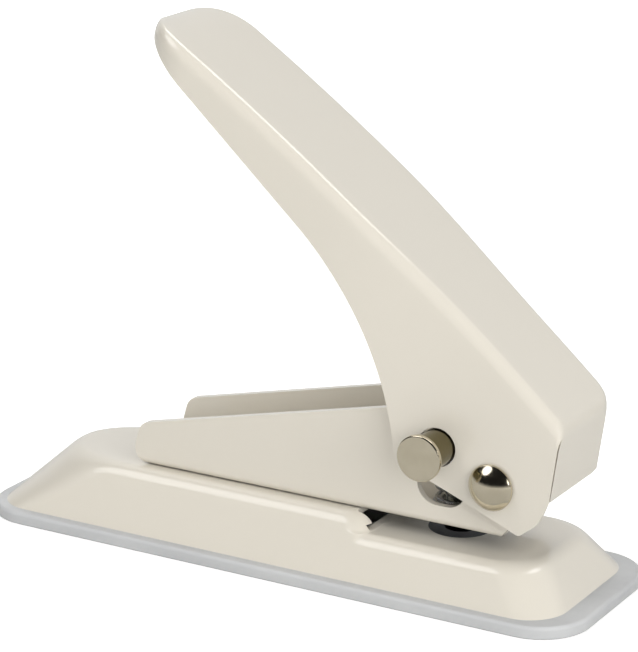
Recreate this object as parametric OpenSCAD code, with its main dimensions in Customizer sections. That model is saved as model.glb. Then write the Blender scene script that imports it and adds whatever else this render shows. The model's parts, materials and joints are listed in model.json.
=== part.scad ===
// Single hole punch: a pressed-steel desk machine with one lever, one punch and a chip tray.
// Millimetres, +Z up. The origin is the middle of the tray's underside.
// +X points to the paper slot, and -Y is the side with the flat-headed pin.

/* [Tray and base] */
// Length of the chip tray
tray_l = 126.6; // [115:0.2:140]
// Width of the chip tray
tray_w = 40; // [36:0.5:46]
// Plan radius of the tray's corners
tray_corner = 10; // [7:0.5:12]
// Height of the tray's rim
rim_h = 2.4; // [1.8:0.1:3.2]
// Thickness of the tray's floor
tray_floor = 1.2; // [0.8:0.1:1.6]
// Thickness of the tray's inner skirt
skirt_wall = 1.2; // [0.8:0.1:1.6]
// Height of the skirt above the rim
skirt_h = 3.6; // [2.5:0.1:4.5]
// How far the rim stands out past the base
ledge = 2.2; // [1.5:0.1:3]
// Wider rim of the tray before the front of the base
front_ledge = 4.4; // [2.2:0.1:6]
// Sheet thickness of the base
base_wall = 1.2; // [0.8:0.1:1.6]
// Height of the bed that carries the frame
bed_z = 13; // [12:0.1:15]
// Height of the paper slot's lower jaw below the bed
slot_h = 3; // [2.4:0.1:3.4]
// Lean of the base's long sides from upright, in degrees
side_lean = 30; // [22:1:34]
// Lean of the base's rear end
rear_lean = 44; // [38:1:48]
// Lean of the base's front end
front_lean = 36; // [25:1:45]
// Radius of the base's upper edges
edge_r = 3.5; // [2.6:0.1:3.8]
// Plan radius of the base's lower corners
base_corner = 7.8; // [6.5:0.1:9]
// Reach of the rear corners along the base at the bed, where the end is an oval
bed_oval = 17; // [12:0.5:20]

/* [Frame] */
// Distance of the pivot in front of the base's middle
pivot_x = 44; // [40:0.5:48]
// Height of the pivot above the bed
pivot_h = 10.3; // [9.6:0.1:11]
// Outside width of the frame
frame_w = 18.2; // [16.6:0.1:21]
// Sheet thickness of the frame
frame_wall = 1.4; // [1:0.1:1.6]
// Bend radius along the frame's lower edges
frame_bend = 1.6; // [1.5:0.1:2.5]
// Length of the frame behind the pivot
frame_back = 78; // [70:0.5:82]
// Height of the frame's rear edge
frame_rear_h = 8.3; // [7:0.1:9.5]
// Climb of the frame's upper edge, in degrees
frame_climb = 13.1; // [11:0.1:14]
// Where the upper edge ends behind the pivot
frame_peak = 9; // [7:0.5:14]
// How far the nose reaches ahead of the pivot
nose_front = 7.2; // [6.5:0.1:8]

/* [Lever] */
// Gap between the frame and each plate of the lever
plate_gap = 0.7; // [0.5:0.05:1]
// How much wider the grip is than the lever's front
grip_flare = 4; // [2:0.5:8]
// Sheet thickness of the lever
lever_wall = 1.2; // [1:0.1:1.3]
// Radius along the lever's upper edges
ridge_r = 2; // [1.6:0.1:3]
// Front face ahead of the pivot, at its top
lever_front = 13.1; // [12.8:0.1:14]
// Height of the ridge above the pivot at the front face
lever_front_h = 13.1; // [12.8:0.1:15]
// Tip of the grip behind the pivot
lever_reach = 73; // [66:0.5:78]
// Climb of the ridge per millimetre at the front
ridge_rise = 0.91; // [0.89:0.01:0.94]
// Flattening of the ridge towards the tip
ridge_crown = 0.0017; // [0.0012:0.0001:0.0021]
// Plan radius of the grip's tip
tip_r = 11; // [8:0.5:12]
// Drop of the tip below the ridge curve
tip_drop = 4.6; // [3:0.1:6]
// Heel of the side plate behind the pivot
heel_x = 19.2; // [18.5:0.1:20.5]
// Heel of the side plate above the pivot
heel_z = 1.8; // [1:0.1:3]
// Radius of the curve under the grip
bend_r = 60; // [56:0.2:64]
// Angle where that curve starts at the heel
bend_start = 3.2; // [2:0.1:5]
// Angle where it runs out into the grip
bend_end = 47.5; // [46:0.5:49]
// Lean of the front face from upright, in degrees
face_lean = 8.3; // [5:0.1:10]
// Bend radius where the ridge folds down into the front face
front_bend = 4; // [3:0.1:5]
// Plan radius of the front face's far corner
front_corner = 3; // [1.5:0.1:4]
// Lever travel, in degrees
lever_travel = 30; // [26:1:30]

/* [Pivot] */
// Diameter of the pivot rivet
pivot_d = 5; // [4:0.1:6]
// Diameter of the rivet's dome heads
dome_d = 8.6; // [7.5:0.1:10]
// Height of the dome heads
dome_h = 2.6; // [2:0.1:3.2]
// Outside diameter of the spacer tube
spacer_d = 8; // [7:0.1:9]
// Diameter of the thrust washers
washer_d = 9; // [8:0.1:10]

/* [Side pin] */
// Side pin behind the pivot
pin_back = 10.9; // [10.5:0.1:11.5]
// Side pin above the pivot
pin_up = 5.5; // [5:0.1:6]
// Diameter of the pin's barrel
barrel_d = 6.8; // [6:0.1:7.2]
// Diameter of the pin's shank
shank_d = 4.8; // [4:0.1:5.2]
// Diameter of the pin's flat head
pin_head_d = 8.6; // [8:0.1:10]
// Thickness of the pin's flat head
pin_head_t = 1.1; // [0.8:0.1:1.6]
// Barrel that stands out between the lever and the flat head
pin_out = 6.2; // [5.5:0.1:8]
// Room left under the pin in the frame's slot
slot_room = 2; // [0.8:0.1:2.2]
// Extra width of the near plate's slot towards the pivot
slot_extra = 1.2; // [0.4:0.1:1.4]
// Corner radius of the near plate's slot
slot_corner = 3.9; // [3:0.1:4]

/* [Punch] */
// Diameter of the punched hole
hole_d = 6; // [5:0.1:6.4]
// Paper edge to the middle of the hole
paper_margin = 13; // [12:0.1:14]
// Diameter of the punch's slotted head
punch_head_d = 11; // [10.4:0.1:12]
// Thickness of the head above and below the cross slot
punch_bridge = 1.6; // [1.2:0.1:2]
// Outside diameter of the punch guide
guide_d = 7.4; // [7.2:0.1:7.6]
// Height of the punch guide above the frame's floor
guide_up = 1.6; // [1:0.1:2]
// Diameter of the die
die_d = 12; // [10:0.1:14]
// Length of the die
die_l = 3.8; // [3.4:0.1:4.6]
// Diameter of the die's flange under the base
die_flange_d = 15; // [14.4:0.1:17]
// Thickness of that flange
die_flange_t = 1.2; // [0.8:0.1:1.6]
// Wire of the return spring
spring_wire = 0.7; // [0.5:0.05:0.8]
// Middle diameter of the return spring
spring_d = 9; // [9:0.1:9.4]
// Turns of the return spring
spring_turns = 3; // [2:0.5:3]
// Thickness of the spring's washers
seat_t = 0.4; // [0.3:0.05:0.5]
// Diameter of the spring's washers
seat_d = 10.6; // [10.2:0.1:11]

/* [Rivets] */
// Diameter of the frame rivets
rivet_d = 4; // [3:0.1:4.5]
// Diameter of the rivet heads
rivet_head_d = 7; // [6:0.1:8]
// Height of the rivet heads
rivet_head_h = 1.4; // [1:0.1:2]
// Distance between the frame rivets
rivet_pitch = 17; // [14:0.5:18]
// Number of frame rivets
rivet_count = 3; // [2:1:3]

/* [Fits] */
// Radial clearance of turning and sliding fits
run_fit = 0.06; // [0.03:0.01:0.1]
// Radial clearance of seats that don't move
seat_fit = 0.01; // [0.01:0.01:0.03]
// Side clearance between moving faces
side_gap = 0.2; // [0.15:0.05:0.3]
// Wider clearance between moving parts
free_gap = 0.3; // [0.25:0.05:0.4]

/* [Hidden] */
$fn = 64;
eps = 0.01;
past = 60;
corner_steps = 6;
edge_steps = 6;
arc_steps = 14;
stop_lean = 14;
stop_corner = 4;
flare_share = 0.42;

// Heights and places that follow from the sizes above
jaw_z = bed_z - slot_h;
pivot_z = bed_z + pivot_h;
frame_out = frame_w / 2;
frame_in = frame_out - frame_wall;
lever_w = frame_w + 2 * (plate_gap + lever_wall);
plate_out = lever_w / 2;
plate_in = plate_out - lever_wall;
floor_z = bed_z + frame_wall;

// The side pin swings on an arc about the pivot as the lever goes down
pin_r = norm([pin_back, pin_up]);
pin_a = 180 - atan2(pin_up, pin_back);
pin_z = pivot_z + pin_up;
pin_down_z = pivot_z + pin_r * sin(pin_a + lever_travel);
pin_far = pin_a + lever_travel > 180 ? pin_r : -pin_r * cos(pin_a + lever_travel);
stroke = pin_z - pin_down_z;
punch_x = pivot_x - (pin_back + pin_far) / 2;
pin_sway = pin_far - pin_back;
slot_low = pin_down_z - barrel_d / 2 - free_gap - slot_room;
slot_top = pin_z + barrel_d / 2 + free_gap;
stop_x = punch_x - paper_margin;

// Punch, from its cutting end up
cross_h = shank_d + 2 * free_gap;
cross_l = shank_d + pin_sway + 2 * free_gap;
punch_head_low = pin_z - cross_h / 2 - punch_bridge;
punch_head_top = pin_z + cross_h / 2 + punch_bridge;
punch_tip = bed_z + free_gap;
cut_hollow = 0.8;
hub_d = hole_d + 1.6;
hub_low = floor_z + guide_up + stroke + free_gap;
rod_top = pin_z - cross_h / 2 - free_gap;

// Side pin, from its flat head to the far ring
head_y = plate_out + pin_out;
barrel_end_y = frame_out + free_gap;
pin_washer_t = 0.5;
ring_t = 0.8;
ring_d = shank_d + 3.4;
groove_depth = 0.4;
pin_end = 0.8;
pin_washer_d = shank_d + 3.6;
pin_washer_y = half_w(-pin_back - pin_washer_d / 2) + side_gap;
ring_y = pin_washer_y + pin_washer_t;

// Return spring between its two washers
spring_low = floor_z + seat_t;
spring_high = punch_head_low - seat_t;
spring_gap = 0.05;

// Corner with radius r at p, between its neighbours a and b, as points of an arc
function unit(v) = v / norm(v);
function corner(a, p, b, r) =
    r == 0 ? [p] :
    let (u = unit(a - p), v = unit(b - p), half = acos(u * v) / 2)
    let (c = p + unit(u + v) * r / sin(half))
    let (s = p + u * r / tan(half) - c, e = p + v * r / tan(half) - c)
    let (a0 = atan2(s.y, s.x), turn = atan2(s.x * e.y - s.y * e.x, s * e))
    [for (i = [0:corner_steps]) let (t = a0 + turn * i / corner_steps) c + r * [cos(t), sin(t)]];

// Outline with rounded corners: each entry is [point, radius]
function rounded(list) = [
    for (i = [0:len(list) - 1])
    let (n = len(list), a = list[(i + n - 1) % n][0], b = list[(i + 1) % n][0])
    each corner(a, list[i][0], b, list[i][1])
];

// Quarter of an oval corner that turns from angle a0, about c with half axes r
function oval(c, r, a0) = [
    for (i = [0:corner_steps]) let (a = a0 + 90 * i / corner_steps) c + [r.x * cos(a), r.y * sin(a)]
];

function at_z(outline, z) = [for (p = outline) [p.x, p.y, z]];

// Index of a ring's point; one that lies on the ring before it is that ring's own point
function point_index(rings, i, j) =
    let (shared = i > 0 && norm(rings[i][j] - rings[max(i - 1, 0)][j]) < eps / 10)
    (shared ? i - 1 : i) * len(rings[0]) + j;

// Solid through a stack of rings that have the same number of points
module skin(rings) {
    n = len(rings[0]);
    m = len(rings);
    last = (m - 1) * n;
    sides = [
        for (i = [0:m - 2], j = [0:n - 1])
        let (k = (j + 1) % n, a = point_index(rings, i, j), b = point_index(rings, i, k))
        let (c = point_index(rings, i + 1, k), d = point_index(rings, i + 1, j))
        for (f = [[a, d, c], [a, c, b]])
        if (f[0] != f[1] && f[1] != f[2] && f[0] != f[2]) f
    ];
    low_cap = [[for (j = [0:n - 1]) j]];
    top_cap = [[for (j = [n - 1:-1:0]) last + j]];
    polyhedron([for (r = rings) each r], concat(low_cap, sides, top_cap), convexity = 6);
}

// Side outline (x, z), extruded over a width across the punch
module across(width) {
    rotate([90, 0, 0])
        linear_extrude(height = width, center = true, convexity = 6)
            children();
}

// Round hole or rod across the punch, from y0 to y1
module cross_rod(d, y0, y1) {
    translate([0, y0, 0])
        rotate([-90, 0, 0])
            cylinder(d = d, h = y1 - y0);
}

module at_pivot() {
    translate([pivot_x, 0, pivot_z])
        children();
}

module at_pin() {
    translate([pivot_x - pin_back, 0, pin_z])
        children();
}

module at_punch() {
    translate([punch_x, 0, 0])
        children();
}

module ring(od, id, z0, z1) {
    difference() {
        translate([0, 0, z0])
            cylinder(d = od, h = z1 - z0);
        translate([0, 0, z0 - eps])
            cylinder(d = id, h = z1 - z0 + 2 * eps);
    }
}

// Dome with a short straight rim, standing on z = 0
module dome(d, h) {
    rim = 0.4;
    cap_h = h - rim;
    ball_r = (d * d / 4 + cap_h * cap_h) / (2 * cap_h);
    cylinder(d = d, h = rim);
    intersection() {
        translate([0, 0, h - ball_r])
            sphere(r = ball_r);
        translate([0, 0, rim / 2])
            cylinder(d = d, h = h);
    }
}

// Places of the frame rivets along the bed
function rivet_x(i) = pivot_x - frame_back + frame_rear_h + i * rivet_pitch;

// Inset of a leaning wall at height z
function lean_in(z, lean) = (z - rim_h) * tan(lean);

// The same wall with an upper edge of radius r that runs out into a flat top
function edge_low(top, r, lean) = top - r * (1 - sin(lean));
function draw_in(z, top, r, lean) =
    let (low = edge_low(top, r, lean), up = (z - top + r) / r)
    z <= low ? lean_in(z, lean) : lean_in(low, lean) + r * (cos(lean) - sqrt(max(0, 1 - up * up)));

// Half of the base's outline at height z, from the front to the rear, drawn in by an inset.
// A low half runs to the front end, and a raised one stops at the paper stop.
function base_half(z, inset, raised) =
    let (r = edge_r - inset, jaw = jaw_z - inset, bed = bed_z - inset)
    let (up = (z - rim_h) / (bed_z - rim_h), corner_y = base_corner + 4 * up - inset)
    let (rear = -tray_l / 2 + ledge + inset + draw_in(z, bed, r, rear_lean))
    let (front = tray_l / 2 - front_ledge - inset - draw_in(z, jaw, r, front_lean))
    let (stop = stop_x + lean_in(jaw_z, stop_lean) - inset - draw_in(z, bed, r, stop_lean))
    let (hw = tray_w / 2 - ledge - inset - draw_in(z, bed, r, side_lean))
    let (jaw_hw = raised ? 0 : tray_w / 2 - ledge - inset - draw_in(z, jaw, r, side_lean))
    let (front_r = base_corner + up - inset, c = [stop - stop_corner, hw - stop_corner])
    let (rear_r = [base_corner + (bed_oval - base_corner) * up - inset, min(hw - 0.3, corner_y)])
    let (stop_turn = oval(c, [stop_corner, stop_corner], 0), n = corner_steps + 1)
    concat(
        raised ? [for (i = [0:corner_steps]) [stop, c.y * (i + 0.5) / n]]
            : oval([front - front_r, jaw_hw - front_r], [front_r, front_r], 0),
        [for (p = stop_turn) [p.x, max(p.y, jaw_hw)]],
        oval([rear + rear_r.x, hw - rear_r.y], rear_r, 90)
    );

function base_ring(z, inset, raised) =
    let (half = base_half(z, inset, raised), last = len(half) - 1)
    at_z(concat(half, [for (i = [last:-1:0]) [half[i].x, -half[i].y]]), z);

// Rings of one skin of the base, from the rim up over the jaw and the stop to the bed
function base_rings(inset, steps) =
    let (r = edge_r - inset, jaw = jaw_z - inset, bed = bed_z - inset)
    let (jaw_turn = 90 - side_lean, bed_turn = 90 - stop_lean)
    concat(
        [base_ring(rim_h, inset, false)],
        [for (i = [0:steps]) base_ring(jaw - r * (1 - sin(side_lean + jaw_turn * i / steps)), inset, false)],
        [base_ring(jaw, inset, true)],
        [for (i = [0:steps]) base_ring(bed - r * (1 - sin(stop_lean + bed_turn * i / steps)), inset, true)]
    );

// Plate outline with true round corners
module plate(x0, x1, hw, r) {
    translate([x0 + r, -hw])
        square([x1 - x0 - 2 * r, 2 * hw]);
    translate([x0, -hw + r])
        square([x1 - x0, 2 * (hw - r)]);
    for (x = [x0 + r, x1 - r], y = [-hw + r, hw - r])
        translate([x, y])
            circle(r = r);
}

// Grey plastic tray that closes the base from below and catches the chips
module chip_tray() {
    skirt_top = rim_h + skirt_h;
    gap = base_wall + free_gap;
    rear = -tray_l / 2 + ledge + gap + lean_in(skirt_top, rear_lean);
    front = tray_l / 2 - front_ledge - gap - lean_in(skirt_top, front_lean);
    hw = tray_w / 2 - ledge - gap - lean_in(skirt_top, side_lean);
    r = base_corner + ledge;
    color("lightgray")
        difference() {
            union() {
                linear_extrude(height = rim_h)
                    plate(-tray_l / 2, tray_l / 2, tray_w / 2, tray_corner);
                linear_extrude(height = skirt_top)
                    plate(rear, front, hw, r);
            }
            translate([0, 0, tray_floor])
                linear_extrude(height = past)
                    plate(rear + skirt_wall, front - skirt_wall, hw - skirt_wall, r - skirt_wall);
        }
}

// Cream pressed-steel base: a hollow shell with a rear bed and a lower front jaw.
// The step from jaw to bed is open to the hollow, under and between its two side stops.
module base_plate() {
    outer = base_rings(0, edge_steps);
    inner = base_rings(base_wall, edge_steps / 2);
    jaw_hw = tray_w / 2 - ledge - lean_in(jaw_z, side_lean);
    side_wall = 2.6;
    undercut = 0.9;
    lip = 0.1;
    mouths = [[jaw_hw - side_wall, undercut], [jaw_hw - stop_corner, slot_h]];
    color("antiquewhite")
        difference() {
            skin(concat([for (i = [len(inner) - 1:-1:0]) inner[i]], outer));
            at_punch()
                translate([0, 0, jaw_z - base_wall - edge_r])
                    cylinder(d = die_d + 2 * seat_fit, h = past);
            for (mouth = mouths)
                translate([stop_x - edge_r, -mouth[0], jaw_z + lip])
                    cube([past, 2 * mouth[0], mouth[1]]);
            for (i = [0:rivet_count - 1])
                translate([rivet_x(i), 0, bed_z - base_wall - edge_r])
                    cylinder(d = rivet_d + 2 * seat_fit, h = past);
        }
}

// Hardened die with a relieved bore, flush with the lower jaw
module die() {
    land = 1.6;
    low = jaw_z - die_l;
    flange_top = jaw_z - base_wall;
    color("dimgray")
        at_punch()
            difference() {
                union() {
                    translate([0, 0, low])
                        cylinder(d = die_d, h = die_l);
                    translate([0, 0, flange_top - die_flange_t])
                        cylinder(d = die_flange_d, h = die_flange_t);
                }
                translate([0, 0, low - eps])
                    cylinder(d = hole_d + 2 * run_fit, h = die_l + 2 * eps);
                translate([0, 0, low - eps])
                    cylinder(d = hole_d + 1.2, h = die_l - land);
            }
}

// Ring that holds the die up against the base
module die_ring() {
    top = jaw_z - base_wall - die_flange_t;
    thickness = min(0.8, die_l - base_wall - die_flange_t);
    color("silver")
        at_punch()
            ring(die_flange_d, die_d + 2 * seat_fit, top - thickness, top);
}

// Side outline of the frame about the pivot, with a blunt nose
module frame_outline() {
    rear = -frame_back;
    rear_lean_x = 2.4;
    climb = (frame_back - rear_lean_x - frame_peak) * tan(frame_climb);
    polygon(rounded([
        [[rear, -pivot_h], 3.2],
        [[nose_front - 6.5, -pivot_h], 0.6],
        [[nose_front - 4, -pivot_h * 0.7], 2],
        [[nose_front - 0.4, -pivot_h * 0.27], 3],
        [[nose_front, pivot_h * 0.44], 4],
        [[-frame_peak, frame_rear_h - pivot_h + climb], 3],
        [[rear + rear_lean_x, frame_rear_h - pivot_h], 3]
    ]));
}

// Channel section (y, z), open at the top, standing on the bed
module frame_section() {
    tall = 40;
    difference() {
        polygon(rounded([
            [[-frame_out, 0], frame_bend], [[frame_out, 0], frame_bend],
            [[frame_out, tall], 0], [[-frame_out, tall], 0]
        ]));
        translate([-frame_in, frame_wall])
            square([2 * frame_in, tall]);
    }
}

// Upright slot for a rod that swings with the side pin; it can be wider towards the pivot
module pin_slot(d, extra, r, y0, y1) {
    x0 = -d / 2 - pin_sway / 2 - free_gap;
    x1 = extra - x0;
    at_punch()
        translate([0, (y0 + y1) / 2, 0])
            across(y1 - y0)
                polygon(rounded([
                    [[x0, slot_low], r], [[x1, slot_low], r], [[x1, slot_top], r], [[x0, slot_top], r]
                ]));
}

// Cream channel frame riveted to the bed; its front end is the upper jaw
module frame() {
    color("antiquewhite")
        difference() {
            intersection() {
                at_pivot()
                    across(frame_w)
                        frame_outline();
                translate([pivot_x - frame_back - eps, 0, bed_z])
                    rotate([90, 0, 90])
                        linear_extrude(height = frame_back + pivot_h + past)
                            frame_section();
            }
            at_pivot()
                cross_rod(pivot_d + 2 * seat_fit, -frame_w, frame_w);
            pin_slot(barrel_d, slot_extra, slot_corner, -frame_w, 0);
            pin_slot(shank_d, 0, shank_d / 2, 0, frame_w);
            at_punch()
                translate([0, 0, bed_z - eps])
                    cylinder(d = guide_d + 2 * seat_fit, h = frame_wall + 2 * eps);
            for (i = [0:rivet_count - 1])
                translate([rivet_x(i), 0, bed_z - eps])
                    cylinder(d = rivet_d + 2 * seat_fit, h = frame_wall + 2 * eps);
        }
}

// Rivets that hold the frame to the base
module frame_rivets() {
    foot = 0.8;
    low = bed_z - base_wall;
    color("silver")
        for (i = [0:rivet_count - 1])
            translate([rivet_x(i), 0, 0]) {
                translate([0, 0, floor_z])
                    dome(rivet_head_d, rivet_head_h);
                translate([0, 0, low])
                    cylinder(d = rivet_d, h = floor_z - low);
                translate([0, 0, low - foot])
                    cylinder(d = rivet_head_d - 1, h = foot);
            }
}

// Bush in the frame's floor that keeps the punch upright
module punch_guide() {
    color("goldenrod")
        at_punch()
            ring(guide_d, hole_d + 2 * run_fit, bed_z, floor_z + guide_up);
}

// Pivot rivet with its near dome head
module pivot_rivet() {
    head_in = plate_out + side_gap;
    color("silver")
        at_pivot() {
            cross_rod(pivot_d, -head_in, head_in + 1);
            translate([0, -head_in, 0])
                rotate([90, 0, 0])
                    dome(dome_d, dome_h);
        }
}

// Dome cap pressed on the rivet's far end
module pivot_cap() {
    head_in = plate_out + side_gap;
    color("silver")
        at_pivot()
            difference() {
                translate([0, head_in, 0])
                    rotate([-90, 0, 0])
                        dome(dome_d, dome_h);
                cross_rod(pivot_d + 2 * seat_fit, 0, head_in + 1 + seat_fit);
            }
}

// Tube on the rivet that keeps the frame's plates apart
module pivot_spacer() {
    color("gray")
        at_pivot()
            rotate([90, 0, 0])
                ring(spacer_d, pivot_d + 2 * seat_fit, -frame_in, frame_in);
}

// Thrust washers between the frame and the lever
module pivot_washers() {
    inner = frame_out;
    outer = plate_in - side_gap;
    color("gainsboro")
        at_pivot()
            for (side = [-1, 1])
                rotate([90 * side, 0, 0])
                    ring(washer_d, pivot_d + 2 * seat_fit, inner, outer);
}

// Height of the lever's ridge above the pivot, at a place along it
function ridge_z(x) = let (s = lever_front - x) lever_front_h + ridge_rise * s - ridge_crown * s * s;
ridge_slope = atan(ridge_rise);
sheet_fall = 1 / cos(ridge_slope);

// The same ridge drawn in by an inset, with the bend down into the front face
function top_z(x, inset) =
    let (r = front_bend - inset, xc = lever_front - front_bend, xt = xc + r * sin(ridge_slope))
    let (zc = ridge_z(xt) - inset * sheet_fall - r * cos(ridge_slope), d = min(x - xc, r))
    x <= xt ? ridge_z(x) - inset * sheet_fall : zc + sqrt(max(0, r * r - d * d));

// Half width of the lever: it widens smoothly from the front to the grip
function ease(t) = t <= 0 ? 0 : t >= 1 ? 1 : t * t * (3 - 2 * t);
function half_w(x) = (lever_w + grip_flare * ease(-x / (lever_reach * flare_share))) / 2;

// Draw-in of a side near the front face, where its corner has a plan radius
function corner_in(x, radius, inset) =
    let (r = max(radius - inset, 0.1), d = min(x - (lever_front - inset - r), r))
    d <= 0 ? 0 : r - sqrt(max(0, r * r - d * d));

// Section of the lever at x, drawn in by an inset; t runs from 0 to 1 round the tip
function lever_ring(x, inset, t) =
    let (r = ridge_r - inset, fall = 1 - cos(90 * t), arc = corner_steps - 2)
    let (h = half_w(x) - inset - (tip_r - inset) * fall)
    let (near = h - corner_in(x, 0.6, inset), far = h - corner_in(x, front_corner, inset))
    let (z = top_z(x, inset) - tip_drop * fall, low = -past)
    let (edge = [for (i = [0:arc]) r * [1 - cos(90 * i / arc), sheet_fall * (1 - sin(90 * i / arc))]])
    let (flat = concat(
        [[-near, low]],
        [for (i = [0:arc]) [-near + edge[i].x, z - edge[i].y]],
        [for (i = [arc:-1:0]) [far - edge[i].x, z - edge[i].y]],
        [[far, low]]
    ))
    [for (p = flat) [x - (z - p.y) * tan(face_lean), p.x, p.y]];

// Upper form of the lever, solid down to well below the pivot
module lever_form(inset) {
    front = lever_front - inset;
    tip_start = -lever_reach + tip_r;
    body_start = front - front_bend;
    front_steps = 5;
    body_steps = 14;
    tip_steps = 6;
    skin(concat(
        [for (i = [0:front_steps - 1]) let (d = front_bend * (1 - cos(90 * i / front_steps)))
            lever_ring(front - d, inset, 0)],
        [for (i = [0:body_steps]) let (d = (tip_start - body_start) * i / body_steps)
            lever_ring(body_start + d, inset, 0)],
        [for (i = [1:tip_steps]) let (t = i / tip_steps)
            lever_ring(tip_start - (tip_r - inset) * sin(90 * t), inset, t)]
    ));
}

// Points of the curve under the grip, from the heel up, and of the straight run to the tip
bend_c = [-heel_x, heel_z] - bend_r * [cos(bend_start), sin(bend_start)];
function bend_at(a) = bend_c + bend_r * [cos(a), sin(a)];
under_run = 70;
grip_under = bend_at(bend_end) + under_run * [-sin(bend_end), cos(bend_end)];

// Lower front corner of the side plates
toe_x = 5.4;
toe_z = -8.3;
brow = [8.9, -5.6];
flange_low = -0.8;
flange_r = 5;
far_step = [toe_x - 3.2, toe_z + 1.7];
far_brow = flange_low + 1.5;

module lever_outline() {
    polygon(rounded(concat(
        [[[past, past * 2], 0], [[grip_under.x, past * 2], 0], [grip_under, 0]],
        [for (i = [arc_steps:-1:1]) [bend_at(bend_start + (bend_end - bend_start) * i / arc_steps), 0]],
        [[bend_at(bend_start), 3], [[toe_x, toe_z], 1], [brow, 4], [[lever_front - 1.7, flange_low], 0],
            [[past, flange_low], 0]]
    )));
}

// Trim of the far plate's lower front corner and of the flange's corner beside it
module far_trim() {
    bite = 0.1;
    flange_x = lever_front - front_corner;
    end_x = flange_x + eps;
    translate([0, plate_in - lever_wall / 2 + past / 2, 0])
        across(past)
            polygon([far_step, [end_x, far_brow], [end_x, -past], [far_step.x, -past]]);
    translate([flange_x, plate_out - flange_r + bite, flange_low + flange_r - bite])
        rotate([90, 0, 90])
            linear_extrude(height = past)
                difference() {
                    translate([0, -past])
                        square(past);
                    circle(r = flange_r);
                }
}

// Cream channel lever with a folded front flange and a drawn grip
module lever() {
    color("antiquewhite")
        at_pivot()
            difference() {
                intersection() {
                    lever_form(0);
                    across(past)
                        lever_outline();
                }
                lever_form(lever_wall);
                far_trim();
                cross_rod(pivot_d + 2 * run_fit, -past, past);
                translate([-pin_back, 0, pin_up]) {
                    cross_rod(barrel_d + 2 * (run_fit + side_gap), -past, 0);
                    cross_rod(shank_d + 2 * run_fit, 0, past);
                }
            }
}

// Nickel side pin: flat head, barrel, and a shank through the punch to the far plate
module side_pin() {
    color("silver")
        at_pin()
            difference() {
                union() {
                    cross_rod(pin_head_d, -head_y - pin_head_t, -head_y);
                    cross_rod(barrel_d, -head_y - eps, -barrel_end_y);
                    cross_rod(shank_d, -barrel_end_y - eps, ring_y + ring_t + pin_end);
                }
                rotate([-90, 0, 0])
                    ring(shank_d + 1, shank_d - 2 * groove_depth, ring_y, ring_y + ring_t);
            }
}

// Washer between the far plate and the ring
module side_pin_washer() {
    y1 = pin_washer_y + pin_washer_t;
    color("gainsboro")
        at_pin()
            rotate([-90, 0, 0])
                ring(pin_washer_d, shank_d + 2 * seat_fit, pin_washer_y, y1);
}

// Spring ring in the pin's groove, open on one side
module side_pin_ring() {
    mouth = shank_d - 2 * groove_depth - 0.6;
    color("dimgray")
        at_pin()
            rotate([-90, 0, 0])
                difference() {
                    ring(ring_d, shank_d - 2 * groove_depth + 2 * seat_fit, ring_y, ring_y + ring_t);
                    translate([0, -mouth / 2, ring_y - eps])
                        cube([ring_d, mouth, ring_t + 2 * eps]);
                }
}

// Hardened punch rod with a hollow-ground cutting end
module punch_rod() {
    color("gray")
        at_punch()
            difference() {
                translate([0, 0, punch_tip])
                    cylinder(d = hole_d, h = rod_top - punch_tip);
                translate([0, 0, punch_tip - eps])
                    cylinder(d1 = hole_d - 0.4, d2 = 0.6, h = cut_hollow);
            }
}

// Head pressed on the rod, slotted crosswise for the side pin
module punch_head() {
    color("darkgray")
        at_punch()
            difference() {
                union() {
                    translate([0, 0, hub_low])
                        cylinder(d = hub_d, h = punch_head_low - hub_low + eps);
                    translate([0, 0, punch_head_low])
                        cylinder(d = punch_head_d, h = punch_head_top - punch_head_low);
                }
                translate([0, 0, hub_low - eps])
                    cylinder(d = hole_d + 2 * seat_fit, h = rod_top - hub_low + eps);
                translate([-cross_l / 2, -punch_head_d, pin_z - cross_h / 2])
                    cube([cross_l, 2 * punch_head_d, cross_h]);
            }
}

// Washer that the spring stands on
module spring_seat() {
    color("gainsboro")
        at_punch()
            ring(seat_d, guide_d + 2 * run_fit, floor_z, floor_z + seat_t);
}

// Washer under the punch's head
module spring_washer() {
    color("gainsboro")
        at_punch()
            ring(seat_d, hub_d + 2 * seat_fit, punch_head_low - seat_t, punch_head_low);
}

// Rings of the spring's wire along its helix
rings_per_turn = 12;
wire_sides = 6;
spring_z0 = spring_low + spring_wire / 2 + spring_gap;
spring_pitch = (spring_high - spring_low - spring_wire - 2 * spring_gap) / spring_turns;
spring_rings = spring_turns * rings_per_turn;
function coil_point(i) = let (a = 360 * i / rings_per_turn)
    [spring_d / 2 * cos(a), spring_d / 2 * sin(a), spring_z0 + spring_pitch * i / rings_per_turn];
function coil_ring(i) = let (a = 360 * i / rings_per_turn, c = coil_point(i), out = [cos(a), sin(a), 0])
    [for (j = [0:wire_sides - 1]) let (b = 360 * j / wire_sides)
        c + spring_wire / 2 * (out * cos(b) + [0, 0, 1] * sin(b))];
spring_clear = min([
    for (i = [0:spring_rings - rings_per_turn], k = [rings_per_turn - 2:rings_per_turn + 2])
    if (i + k <= spring_rings) norm(coil_point(i) - coil_point(i + k))
]) - spring_wire;
echo(least_gap_between_spring_turns = spring_clear);

// Helical return spring round the punch
module return_spring() {
    color("lightsteelblue")
        at_punch()
            skin([for (i = [0:spring_rings]) coil_ring(i)]);
}

chip_tray();
base_plate();
die();
die_ring();
frame();
frame_rivets();
punch_guide();
pivot_rivet();
pivot_cap();
pivot_spacer();
pivot_washers();
lever();
side_pin();
side_pin_washer();
side_pin_ring();
punch_rod();
punch_head();
spring_seat();
spring_washer();
return_spring();
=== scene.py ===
"""Looks of the single hole punch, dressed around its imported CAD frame.

Lengths are millimetres in the part's frame (+X to the paper slot, -Y the pin's side, +Z up) until a
mesh is made, where they become metres.
"""

import json
import math

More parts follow.
